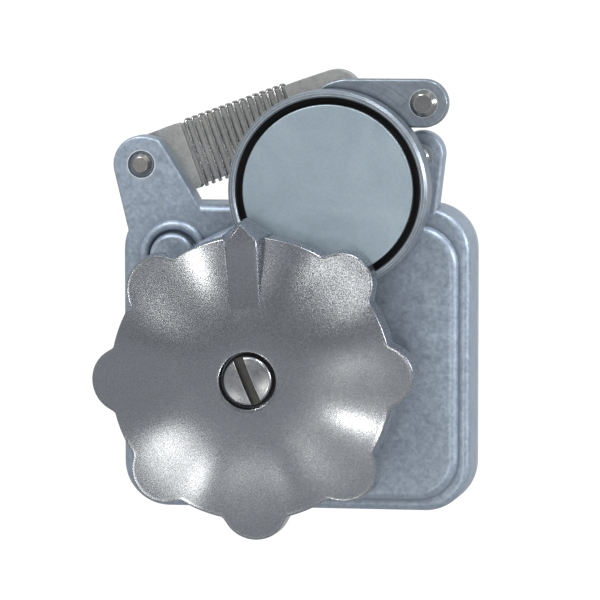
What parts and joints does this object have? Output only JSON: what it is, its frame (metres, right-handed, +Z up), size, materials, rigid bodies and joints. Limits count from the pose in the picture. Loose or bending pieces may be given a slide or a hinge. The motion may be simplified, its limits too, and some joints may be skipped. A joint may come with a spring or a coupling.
{
  "type": "knob-set lever regulator",
  "caption": "Die-cast box with a lobed pointer knob that sets a swinging hub arm through a cam, held against it by a sprung link.",
  "frame": {"origin": "on the knob's axis, in the back face that bolts to the wall or machine", "axes": "+Z up, +X to the right seen from the front, the knob faces -Y"},
  "size_m": [0.0754, 0.037, 0.0945],
  "materials": {
    "zinc_casting": "matte",
    "knob_casting": "satin",
    "plated_sheet": "satin",
    "turned_steel": "satin",
    "grey_steel": "matte",
    "bearing_steel": "gloss",
    "bush_bronze": "satin",
    "seal_rubber": "matte"
  },
  "bodies": {
    "housing": {"housing": "zinc_casting", "back_plate": "plated_sheet", "plate_screws": "turned_steel", "spindle_bush": "bush_bronze", "friction_washer": "grey_steel", "link_pivot_pin": "turned_steel", "stop_pin": "turned_steel", "stop_sleeve": "turned_steel", "bearing_outer_race": "bearing_steel", "bearing_retainer": "grey_steel"},
    "knob": {"knob": "knob_casting", "knob_washer": "turned_steel", "knob_screw": "turned_steel", "spindle": "turned_steel", "snail_cam": "grey_steel", "cam_clip": "grey_steel"},
    "arm": {"swing_arm": "zinc_casting", "arm_shaft": "turned_steel", "arm_nut": "turned_steel", "bearing_inner_race": "bearing_steel", "follower_lever": "grey_steel", "lever_clip": "grey_steel", "roller_pin": "turned_steel", "cap_disc": "plated_sheet", "dust_seal": "seal_rubber", "drive_pin": "turned_steel", "crank_pin": "turned_steel", "crank_clip": "grey_steel"},
    "cage": {"bearing_cage": "bush_bronze", "bearing_balls": "bearing_steel"},
    "roller": {"cam_roller": "bearing_steel"},
    "yoke": {"link_yoke": "grey_steel", "link_spring": "grey_steel"},
    "bar": {"link_bar": "grey_steel"}
  },
  "joints": [
    {"name": "knob_turn", "type": "hinge", "parent": "housing", "child": "knob", "pos_m": [0, -0.03, 0], "axis": [0, 1, 0], "range_deg": [0, 180]},
    {"name": "arm_swing", "type": "hinge", "parent": "housing", "child": "arm", "pos_m": [0.0143, -0.02, 0.0375], "axis": [0, -1, 0], "range_deg": [0, 16]},
    {"name": "cage_roll", "type": "hinge", "parent": "housing", "child": "cage", "pos_m": [0.0143, -0.0109, 0.0375], "axis": [0, -1, 0], "range_deg": [0, 6.34]},
    {"name": "roller_spin", "type": "hinge", "parent": "arm", "child": "roller", "pos_m": [0.01791, -0.0063, 0.00181], "axis": [0, 1, 0], "range_deg": [-975, 0]},
    {"name": "yoke_swing", "type": "hinge", "parent": "housing", "child": "yoke", "pos_m": [-0.026, -0.0045, 0.0419], "axis": [0, -1, 0], "range_deg": [0, 1.46]},
    {"name": "bar_slide", "type": "slide", "parent": "yoke", "child": "bar", "axis": [-0.94, 0, -0.3412], "range_m": [0, 0.00512], "deforming": ["link_spring"]}
  ],
  "couplings": [
    {"joint": "arm_swing", "follows": "knob_turn", "ratio": 0.088888},
    {"joint": "cage_roll", "follows": "knob_turn", "ratio": 0.03511},
    {"joint": "roller_spin", "follows": "knob_turn", "ratio": -5.4},
    {"joint": "yoke_swing", "follows": "knob_turn", "ratio": 0.00807},
    {"joint": "bar_slide", "follows": "knob_turn", "m_per_rad": 0.0016263}
  ]
}
